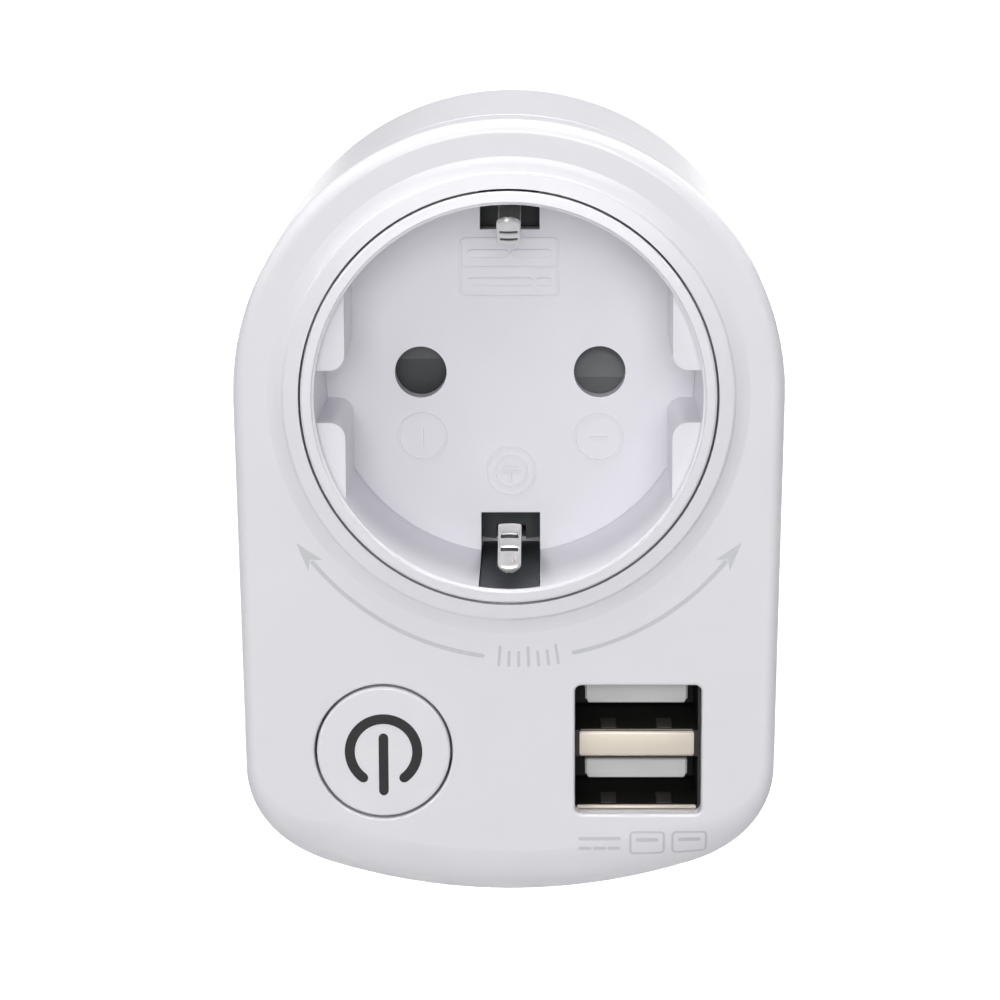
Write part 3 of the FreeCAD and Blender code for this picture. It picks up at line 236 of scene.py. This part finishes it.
# Every material slot of the record: its colour, its roughness and what is special about it.
SLOT_FINISHES = {
    "casing_white": ((0.797, 0.790, 0.828), 0.34,
                     {"tint": 0.008, "spread": 0.05, "grain": 0.10, "grain_scale": 1900, "coat": 0.25}),
    "insert_white": ((0.84, 0.83, 0.875), 0.36,
                     {"tint": 0.012, "spread": 0.05, "grain": 0.12, "grain_scale": 1700, "coat": 0.15}),
    "button_white": ((0.81, 0.803, 0.842), 0.30,
                     {"tint": 0.008, "spread": 0.05, "grain": 0.08, "grain_scale": 1900, "coat": 0.25}),
    "dark_plastic": ((0.045, 0.050, 0.055), 0.5,
                     {"tint": 0.2, "grain": 0.4, "grain_scale": 2200, "wear": 0.3}),
    "shutter_plastic": ((0.075, 0.080, 0.085), 0.45, {"tint": 0.15, "grain": 0.3}),
    "nickel": ((0.78, 0.76, 0.72), 0.20,
               {"metallic": 1.0, "tint": 0.04, "spread": 0.06, "grain": 0.12, "grain_scale": 2500,
                "stretch": (1.0, 0.08, 1.0), "wear": 0.3}),
    "spring_steel": ((0.90, 0.89, 0.86), 0.30,
                     {"metallic": 0.7, "tint": 0.03, "spread": 0.06, "grain": 0.15, "grain_scale": 900,
                      "stretch": (6.0, 1.0, 1.0), "wear": 0.2}),
    "brass": ((0.72, 0.53, 0.25), 0.30, {**BRUSHED, "tint": 0.08, "wear": 0.3}),
    "bronze": ((0.66, 0.42, 0.24), 0.32, {**BRUSHED, "tint": 0.08, "wear": 0.3}),
    "screw_steel": ((0.60, 0.60, 0.61), 0.32,
                    {"metallic": 1.0, "tint": 0.10, "grain": 0.3, "grain_scale": 1600, "wear": 0.4}),
    # The charging ports' nickel can, painted near black: painted shade inside the ports.
    "port_metal": ((0.035, 0.033, 0.030), 0.45, {**BRUSHED, "metallic": 0.5, "tint": 0.10}),
    "port_tongue": ((0.66, 0.66, 0.66), 0.5, {"tint": 0.04, "grain": 0.3}),
    "contact_gold": ((0.83, 0.60, 0.25), 0.22, {"metallic": 1.0, "tint": 0.05, "grain": 0.1}),
    "board_green": ((0.02, 0.16, 0.07), 0.35,
                    {"tint": 0.25, "tint_scale": 400, "grain": 0.5, "grain_scale": 1400, "coat": 0.4}),
    "radio_metal": ((0.68, 0.68, 0.70), 0.35, {**BRUSHED, "tint": 0.05}),
    "black_plastic": ((0.022, 0.022, 0.025), 0.45, {"tint": 0.25, "grain": 0.4, "wear": 0.2}),
    "relay_blue": ((0.03, 0.12, 0.38), 0.4, {"tint": 0.08, "grain": 0.3, "wear": 0.3}),
    "can_sleeve": ((0.03, 0.035, 0.10), 0.28, {"tint": 0.15, "grain": 0.15, "coat": 0.3}),
    "ferrite": ((0.07, 0.07, 0.075), 0.6, {"tint": 0.25, "grain": 0.6, "grain_scale": 1200, "wear": 0.3}),
    "winding_tape": ((0.75, 0.60, 0.12), 0.35, {"tint": 0.08, "tint_scale": 300, "coat": 0.3}),
    "copper": ((0.66, 0.30, 0.13), 0.28,
               {"metallic": 1.0, "tint": 0.12, "grain": 0.8, "grain_scale": 160,
                "stretch": (1.0, 30.0, 1.0)}),
    "varistor_blue": ((0.03, 0.14, 0.42), 0.25,
                      {"tint": 0.1, "grain": 0.3, "grain_scale": 700, "coat": 0.5}),
    "led_clear": ((0.82, 0.86, 0.90), 0.12, {"tint": 0.03, "grain": 0.05, "coat": 0.5}),
    "lead_brown": ((0.20, 0.085, 0.04), 0.45, {"tint": 0.1, "grain": 0.3}),
    "lead_black": ((0.02, 0.02, 0.02), 0.45, {"tint": 0.2, "grain": 0.3}),
    "lead_blue": ((0.04, 0.15, 0.50), 0.45, {"tint": 0.1, "grain": 0.3}),
}


def make_finishes():
    """One material for each of the record's material slots."""
    return {slot: surface(slot, colour, roughness, **special)
            for slot, (colour, roughness, special) in SLOT_FINISHES.items()}


def dress_frame(finishes):
    """Every carried-over node takes the finish of its slot in the record."""
    for part in frame["record"]["subparts"]:
        node = NODES[part["node"]]
        for index in range(max(1, len(node.material_slots))):
            if index < len(node.material_slots):
                node.material_slots[index].material = finishes[part["material_slot"]]
            else:
                node.data.materials.append(finishes[part["material_slot"]])


# ---- shaping helpers -----------------------------------------------------------------------


def drape(mesh, node, plane_y):
    """Moves marks drawn on a plane back onto the moulded surface of a node behind them."""
    source = NODES[node]
    verts = [source.matrix_world @ v.co for v in source.data.vertices]
    tree = BVHTree.FromPolygons(verts, [tuple(p.vertices) for p in source.data.polygons])
    for vertex in mesh.verts:
        start = Vector((vertex.co.x, FRONT - 10 * MM, vertex.co.z))
        hit = tree.ray_cast(start, Vector((0.0, 1.0, 0.0)))[0]
        if hit is not None:
            vertex.co.y += hit.y - plane_y


def piece_from(name, mesh, body, material, smooth=40.0):
    """Makes a named piece from a bmesh; it rides on a body and has a finish."""
    bmesh.ops.recalc_face_normals(mesh, faces=mesh.faces)
    data = bpy.data.meshes.new(name)
    mesh.to_mesh(data)
    mesh.free()
    piece = bpy.data.objects.new(name, data)
    bpy.context.scene.collection.objects.link(piece)
    data.materials.append(material)
    data.shade_smooth()
    data.set_sharp_from_angle(angle=math.radians(smooth))
    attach(piece, body)
    return piece


def arc_points(x, z, radius, start, end, steps):
    """Points along an arc on the face, from one angle to another in degrees, +X is 0."""
    angles = [math.radians(start + (end - start) * i / steps) for i in range(steps + 1)]
    return [(x + radius * math.cos(a), z + radius * math.sin(a)) for a in angles]


def stroke_sections(line, half, closed):
    """The places, directions and half widths along a stroke, with rounded ends if it is open."""
    points = [Vector(p) for p in line]
    last = len(points) - 1
    sections = []
    for i, point in enumerate(points):
        before = points[i - 1] if closed or i else point
        after = points[(i + 1) % len(points)] if closed or i < last else point
        sections.append((point, (after - before).normalized(), half))
    if closed:
        return sections
    angles = [math.radians(degrees) for degrees in (22.5, 45.0, 67.5, 85.0)]
    caps = [(half * math.sin(angle), half * math.cos(angle)) for angle in angles]
    (start, ahead), (end, onward) = sections[0][:2], sections[-1][:2]
    head = [(start - ahead * reach, ahead, width) for reach, width in caps]
    tail = [(end + onward * reach, onward, width) for reach, width in caps]
    return head[::-1] + sections + tail


def stroke(mesh, line, width, y, height, edge=0.25, closed=False):
    """A raised stroke with rounded ends along (x, z) points; y is the surface it stands on."""
    rows = []
    for point, along, half in stroke_sections(line, width / 2, closed):
        side = Vector((-along.y, along.x))
        row = []
        for offset, rise in ((-half, 0.0), (-half * (1 - edge), 1.0), (half * (1 - edge), 1.0), (half, 0.0)):
            place = point + side * offset
            row.append(mesh.verts.new((place.x, y - height * rise + SUNK * (1 - rise), place.y)))
        rows.append(row)
    spans = list(zip(rows, rows[1:])) + ([(rows[-1], rows[0])] if closed else [])
    for one, two in spans:
        for i in range(4):
            mesh.faces.new((one[i], one[(i + 1) % 4], two[(i + 1) % 4], two[i]))
    if not closed:
        mesh.faces.new(rows[0])
        mesh.faces.new(rows[-1])


def plate(mesh, outline, y, height, edge):
    """A raised flat shape with a small bevelled edge; outline is (x, z) points."""
    middle = sum((Vector(p) for p in outline), Vector((0, 0))) / len(outline)
    foot = [mesh.verts.new((p[0], y + SUNK, p[1])) for p in outline]
    top = []
    for p in outline:
        inward = (middle - Vector(p)).normalized() * edge
        top.append(mesh.verts.new((p[0] + inward.x, y - height, p[1] + inward.y)))
    count = len(outline)
    for i in range(count):
        j = (i + 1) % count
        mesh.faces.new((foot[i], foot[j], top[j], top[i]))
    mesh.faces.new(top)
    mesh.faces.new(foot[::-1])


def frame_line(left, low, right, high, corner):
    """A rectangle with rounded corners as a closed line of (x, z) points."""
    bends = []
    for x, z, start in ((right - corner, high - corner, 0), (left + corner, high - corner, 90),
                        (left + corner, low + corner, 180), (right - corner, low + corner, 270)):
        bends += arc_points(x, z, corner, start, start + 90, 5)
    points = []
    for one, two in zip(bends, bends[1:] + bends[:1]):
        steps = max(1, int(math.dist(one, two) / (0.4 * MM)))
        points += straight(one, two, steps)[:-1]
    return points


def straight(start, end, steps=2):
    """Evenly spaced points from start to end."""
    return [(start[0] + (end[0] - start[0]) * i / steps, start[1] + (end[1] - start[1]) * i / steps)
            for i in range(steps + 1)]


# ---- marks on the face and in the recess ----------------------------------------------------


TURN_RADIUS = 27.2 * MM
TURN_X = 1.0 * MM                 # how far right of the socket axis the arrows' centre is
TURN_CENTRE = Vector((TURN_X, 0.0))


def arrow_head(degrees, sign):
    """The notched head of a turn arrow whose shaft ends at an angle; sign is its direction."""
    turn = math.radians(degrees)
    out = Vector((math.cos(turn), math.sin(turn)))
    along = Vector((-out.y, out.x)) * sign
    tip = TURN_CENTRE + out * TURN_RADIUS + along * 2.7 * MM
    back = tip - along * 3.1 * MM
    return [tuple(p) for p in (tip, back + out * 0.95 * MM, back + along * 0.8 * MM, back - out * 0.95 * MM)]


def make_turn_marks(finish):
    """The printed arrows and the fan of ticks that show the half turn."""
    mesh = bmesh.new()
    for start, end, sign in ((-98.0, -141.0, -1), (-78.0, -39.0, 1)):
        shaft = arc_points(TURN_X, 0.0, TURN_RADIUS, start, end, 30)
        stroke(mesh, shaft, 0.5 * MM, FACE, PRINT_RISE)
        plate(mesh, arrow_head(end, sign), FACE, PRINT_RISE, 0.05 * MM)
    for i in range(-3, 4):
        turn = math.radians(-88.0 + i * 2.1)
        out = Vector((math.cos(turn), math.sin(turn)))
        inner = 26.6 * MM if i % 3 else 26.1 * MM
        tick = straight(out * inner + TURN_CENTRE, out * 28.0 * MM + TURN_CENTRE)
        stroke(mesh, tick, 0.34 * MM, FACE, PRINT_RISE)
    drape(mesh, "front_shell", FACE)
    piece_from("turn_marks", mesh, "casing", finish)


def make_supply_marks(finish):
    """Generic direct-current and port symbols printed below the charging port."""
    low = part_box("usb_shell")[0]
    mesh = bmesh.new()
    left, top = low.x + 0.9 * MM, low.z - 1.9 * MM
    long_row, dash_row, slot_row = top - 0.7 * MM, top - 1.75 * MM, top - 0.85 * MM
    stroke(mesh, straight((left, long_row), (left + 4.0 * MM, long_row), 6), 0.45 * MM, FACE, PRINT_RISE)
    for i in range(3):
        start = left + 1.5 * MM * i
        stroke(mesh, straight((start, dash_row), (start + 0.95 * MM, dash_row)), 0.45 * MM, FACE, PRINT_RISE)
    for i in range(2):
        x = left + (5.2 + 4.4 * i) * MM
        outlet = frame_line(x, top - 2.4 * MM, x + 3.5 * MM, top, 0.4 * MM)
        stroke(mesh, outlet, 0.3 * MM, FACE, PRINT_RISE, closed=True)
        slot = straight((x + 0.8 * MM, slot_row), (x + 2.7 * MM, slot_row), 4)
        stroke(mesh, slot, 0.5 * MM, FACE, PRINT_RISE)
    drape(mesh, "front_shell", FACE)
    piece_from("supply_marks", mesh, "casing", finish)


def make_power_symbol(finish):
    """The black on and off symbol printed on the button."""
    low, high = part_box("button_cap")
    x, z, y = (low.x + high.x) / 2, (low.z + high.z) / 2, low.y
    mesh = bmesh.new()
    stroke(mesh, arc_points(x, z, 3.5 * MM, -52.0, 232.0, 64), 1.1 * MM, y, 0.04 * MM, edge=0.1)
    stroke(mesh, straight((x, z + 1.45 * MM), (x, z - 4.15 * MM), 6), 1.05 * MM, y, 0.04 * MM, edge=0.1)
    piece_from("power_symbol", mesh, "button", finish)


def mark_poles(mesh, y, rise):
    """A ring with an upright bar and one with a level bar, below the two pin holes."""
    for x, z, upright in ((-9.4 * MM, -7.0 * MM, True), (9.35 * MM, -7.1 * MM, False)):
        stroke(mesh, arc_points(x, z, 2.5 * MM, 0.0, 352.5, 47), 0.32 * MM, y, rise, closed=True)
        a = (x, z - 0.9 * MM) if upright else (x - 0.9 * MM, z)
        b = (x, z + 0.9 * MM) if upright else (x + 0.9 * MM, z)
        stroke(mesh, straight(a, b), 0.36 * MM, y, rise)


def mark_earth(mesh, y, rise):
    """The earth sign in two rings."""
    z = -10.76 * MM
    for radius in (2.6 * MM, 1.7 * MM):
        stroke(mesh, arc_points(0.0, z, radius, 0.0, 352.5, 47), 0.28 * MM, y, rise, closed=True)
    stroke(mesh, straight((0.0, z - 1.2 * MM), (0.0, z - 0.3 * MM)), 0.28 * MM, y, rise)
    for i, half in enumerate((1.05, 0.7, 0.35)):
        high = z + 0.42 * MM * i
        stroke(mesh, straight((-half * MM, high), (half * MM, high)), 0.24 * MM, y, rise)


def mark_rating(mesh, y, rise):
    """A frame with blank bars where the ratings would stand."""
    left, right, low, high = -5.2 * MM, 5.1 * MM, 8.1 * MM, 14.2 * MM
    stroke(mesh, frame_line(left, low, right, high, 0.5 * MM), 0.28 * MM, y, rise, closed=True)
    middle, gap = (low + high) / 2, 0.4 * MM
    stroke(mesh, straight((left + gap, middle), (right - gap, middle), 4), 0.24 * MM, y, rise)
    upper, lower = middle + 1.5 * MM, middle - 1.5 * MM
    for row, a, b in ((upper, -4.0, -0.6), (upper, 0.6, 4.0), (lower, -4.0, 2.0), (lower, 3.2, 4.0)):
        stroke(mesh, straight((a * MM, row), (b * MM, row), 3), 0.9 * MM, y, rise, edge=0.15)


def make_recess_marks(finish):
    """Raised marks on the recess floor: pole rings, earth sign and a blank rating frame."""
    y, rise = MOUNTS["socket_recess"].y, 0.22 * MM
    mesh = bmesh.new()
    for mark in (mark_poles, mark_earth, mark_rating):
        mark(mesh, y, rise)
    piece_from("recess_marks", mesh, "plug_core", finish)


# ---- sprung earth clips ---------------------------------------------------------------------


def smooth_path(points, steps):
    """A Catmull-Rom curve through points, evenly divided between each pair."""
    ends = [points[0] * 2 - points[1]] + points + [points[-1] * 2 - points[-2]]
    path = []
    for p0, p1, p2, p3 in zip(ends, ends[1:], ends[2:], ends[3:]):
        for i in range(steps):
            t = i / steps
            path.append(0.5 * (2 * p1 + (p2 - p0) * t + (2 * p0 - 5 * p1 + 4 * p2 - p3) * t**2
                               + (3 * p1 - 3 * p2 + p3 - p0) * t**3))
    path.append(points[-1])
    return path


def clip_half_line():
    """The strap's centre line on one side as (z, y), from the axis out to the sprung tip."""
    bends = [(0.0, 30.4), (9.0, 30.4), (17.2, 30.4), (18.45, 29.4), (18.6, 26.0), (18.6, 19.6), (17.7, 16.8),
             (16.4, 13.2), (15.3, 10.0), (15.0, 8.7), (15.3, 7.6), (16.6, 4.9), (17.7, 2.6), (18.2, 1.75)]
    return [Vector((z * MM, FRONT + depth * MM)) for z, depth in bends]


def point_along(path, distance):
    """The point at a distance along a path, and the direction of the path there."""
    for one, two in zip(path, path[1:]):
        length = (two - one).length
        if distance <= length:
            break
        distance -= length
    along = (two - one).normalized()
    return one + along * min(distance, length), along


def strap_row(path, distance, half, thick, groove):
    """One section of the strap: crowned on its inner side, where the grooves are pressed."""
    point, along = point_along(path, distance)
    inner = Vector((along.y, -along.x))
    top, bottom = [], []
    for column in (-1.0, -0.92, -0.7, -0.35, 0.0, 0.35, 0.7, 0.92, 1.0):
        crown = 0.10 * MM * (1 - column * column)
        edge = thick * 0.28 if abs(column) > 0.95 else thick / 2
        up = point + inner * (edge + crown - (groove if abs(column) < 0.8 else 0.0))
        down = point - inner * (edge - crown)
        top.append((column * half, up.y, up.x))
        bottom.append((column * half, down.y, down.x))
    return top + bottom[::-1]


def skin_rows(mesh, rows, close_start):
    """Joins equal rows of points into a tube and closes its end."""
    made = [[mesh.verts.new(place) for place in row] for row in rows]
    for one, two in zip(made, made[1:]):
        for k in range(len(one)):
            j = (k + 1) % len(one)
            mesh.faces.new((one[k], one[j], two[j], two[k]))
    mesh.faces.new(made[-1])
    if close_start:
        mesh.faces.new(made[0][::-1])


GROOVES = (5.5 * MM, 3.3 * MM)


def strap_mesh(path, thick, width):
    """Bends a strip along the path, with a rounded tip and two pressed grooves on its ramp."""
    total = sum((two - one).length for one, two in zip(path, path[1:]))
    half = width / 2
    body = total - half
    count = int(body / (0.25 * MM))
    stations = [(body * i / count, half) for i in range(count + 1)]
    for angle in range(10, 90, 10):
        turn = math.radians(angle)
        stations.append((body + half * math.sin(turn), half * math.cos(turn)))
    rows = []
    for distance, reach in stations:
        groove = sum(math.exp(-((total - distance - g) / (0.30 * MM))**2) for g in GROOVES) * 0.22 * MM
        rows.append(strap_row(path, distance, reach, thick, groove))
    mesh = bmesh.new()
    skin_rows(mesh, rows, False)
    return mesh, total


def mirror_down(mesh):
    """Adds the same shape mirrored to the other side of the axis."""
    other = bmesh.ops.duplicate(mesh, geom=mesh.verts[:] + mesh.edges[:] + mesh.faces[:])
    for item in other["geom"]:
        if isinstance(item, bmesh.types.BMVert):
            item.co.z = -item.co.z


def make_earth_clips(finish, dark):
    """The bent strap whose two sprung ends are the socket's earth clips, and black strips of painted shadow
    in its pressed grooves.
    """
    path = smooth_path(clip_half_line(), 20)
    thick, width = 0.5 * MM, 2.4 * MM
    mesh, total = strap_mesh(path, thick, width)
    mirror_down(mesh)
    bmesh.ops.remove_doubles(mesh, verts=mesh.verts, dist=0.001 * MM)
    piece = piece_from("earth_spring_strap", mesh, "plug_core", finish, smooth=50.0)
    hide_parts("earth_clips")
    # Black strips in the pressed grooves: painted shadow, the grooves' shade put on in dark plastic.
    groove_shade_strips = bmesh.new()
    for groove in GROOVES:
        rows = []
        for shift in (-0.32, -0.2, 0.2, 0.32):
            sunk = 0.10 * MM if abs(shift) > 0.3 else 0.02 * MM
            rows.append(strap_row(path, total - groove + shift * MM, 0.39 * width, thick, sunk))
        skin_rows(groove_shade_strips, rows, True)
    mirror_down(groove_shade_strips)
    piece_from("earth_clip_groove_shade", groove_shade_strips, "plug_core", dark)


# ---- the twin charging port -----------------------------------------------------------------


def bar(mesh, left, right, section, ease=0.08 * MM):
    """A bar along X with the given (y, z) section and slightly drawn-in ends."""
    middle = sum((Vector(p) for p in section), Vector((0, 0))) / len(section)
    rows = []
    for x, shrink in ((left, ease), (left + ease, 0.0), (right - ease, 0.0), (right, ease)):
        places = [Vector(p) + (middle - Vector(p)).normalized() * shrink for p in section]
        rows.append([(x, place.x, place.y) for place in places])
    skin_rows(mesh, rows, True)


def eased_section(front, back, low, high, radius):
    """A (y, z) rectangle whose two front corners are rounded."""
    points = [(back, low), (back, high)]
    for z, start in ((high - radius, 90), (low + radius, 180)):
        for step in range(7):
            turn = math.radians(start + 15 * step)
            points.append((front + radius + radius * math.cos(turn), z + radius * math.sin(turn)))
    return points


def port_centres():
    """The middles of the upper and the lower charging port."""
    return [MOUNTS["upper_charging_port"], MOUNTS["lower_charging_port"]]


def make_port_fronts(light, dark):
    """The front of the wall between the ports and the bottom lip, in nickel tinted pale beige as a painted
    warm reflection, and the dark spring tabs, whose dim grey is painted shade inside the ports.
    """
    low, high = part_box("usb_shell")
    x = (low.x + high.x) / 2
    upper, lower = port_centres()
    middle = (upper.z + lower.z) / 2
    mesh = bmesh.new()
    half = 1.43 * MM
    # The wall's front and the lip take the pale finish: nickel tinted beige, a painted reflection of warm
    # light.
    wall = eased_section(low.y - 0.15 * MM, low.y + 0.4 * MM, middle - half, middle + half, 0.4 * MM)
    bar(mesh, x - 5.95 * MM, x + 5.95 * MM, wall, 0.15 * MM)
    lip = eased_section(low.y - 0.1 * MM, low.y + 0.3 * MM, low.z + 0.02 * MM, low.z + 0.42 * MM, 0.15 * MM)
    bar(mesh, x - 6.2 * MM, x + 6.2 * MM, lip)
    piece_from("port_front", mesh, "casing", light)
    # The spring tabs are the can's nickel painted dim grey, painted shade inside the ports.
    tabs = bmesh.new()
    for centre in (upper, lower):
        foot = centre.z - 2.65 * MM
        for side in (-1, 1):
            section = [(low.y + 1.0 * MM, foot + 0.02 * MM), (low.y + 2.8 * MM, foot + 0.50 * MM),
                       (low.y + 4.6 * MM, foot + 0.12 * MM), (low.y + 4.6 * MM, foot - 0.05 * MM),
                       (low.y + 1.0 * MM, foot - 0.05 * MM)]
            bar(tabs, x + (side * 2.9 - 0.8) * MM, x + (side * 2.9 + 0.8) * MM, section)
    piece_from("port_spring_tabs", tabs, "casing", dark)


def make_port_tongues(finish, dark):
    """Two moulded tongues whose noses guard the contacts, and the dark blocks they grow from."""
    low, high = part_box("usb_tongues")
    heel = high.y - 3.3 * MM
    plates, heels = bmesh.new(), bmesh.new()
    for centre in port_centres():
        plate_section = eased_section(low.y, high.y, centre.z + 0.06 * MM, centre.z + 1.90 * MM, 0.35 * MM)
        bar(plates, centre.x - 5.34 * MM, centre.x + 5.34 * MM, plate_section, 0.2 * MM)
        nose = eased_section(low.y + 0.02 * MM, low.y + 0.52 * MM,
                             centre.z - 0.2 * MM, centre.z + 0.8 * MM, 0.2 * MM)
        bar(plates, centre.x - 5.1 * MM, centre.x + 5.1 * MM, nose, 0.15 * MM)
        heel_section = eased_section(heel, high.y, centre.z - 2.58 * MM, centre.z + 2.58 * MM, 0.3 * MM)
        bar(heels, low.x, high.x, heel_section)
    piece = piece_from("port_tongue_pair", plates, "casing", finish)
    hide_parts("usb_tongues")
    piece_from("port_tongue_heels", heels, "casing", dark)


# ---- the object -----------------------------------------------------------------------------


def build():
    """Makes the scene: the studio, the finishes and every piece."""
    make_camera()
    make_studio()
    make_floor()
    finishes = make_finishes()
    dress_frame(finishes)
    print_grey = surface("print_grey", (0.60, 0.61, 0.63), 0.45, tint=0.02, grain=0.1)
    ink = surface("symbol_black", (0.018, 0.018, 0.020), 0.32, tint=0.1, grain=0.1)
    make_turn_marks(print_grey)
    make_supply_marks(print_grey)
    make_power_symbol(ink)
    make_recess_marks(finishes["insert_white"])
    make_earth_clips(finishes["spring_steel"], finishes["dark_plastic"])
    # Nickel tinted pale beige: a painted warm reflection on the can's front.
    front_painted_reflection = surface("port_front_painted_reflection", (0.80, 0.73, 0.62), 0.42, metallic=0.35, tint=0.03, grain=0.1)
    # Dim grey metal for the spring tabs: painted shade inside the ports.
    tab_painted_shade = surface("port_tab_painted_shade", (0.22, 0.21, 0.20), 0.38, metallic=0.8, tint=0.05, grain=0.1)
    make_port_fronts(front_painted_reflection, tab_painted_shade)
    make_port_tongues(finishes["port_tongue"], finishes["black_plastic"])


build()
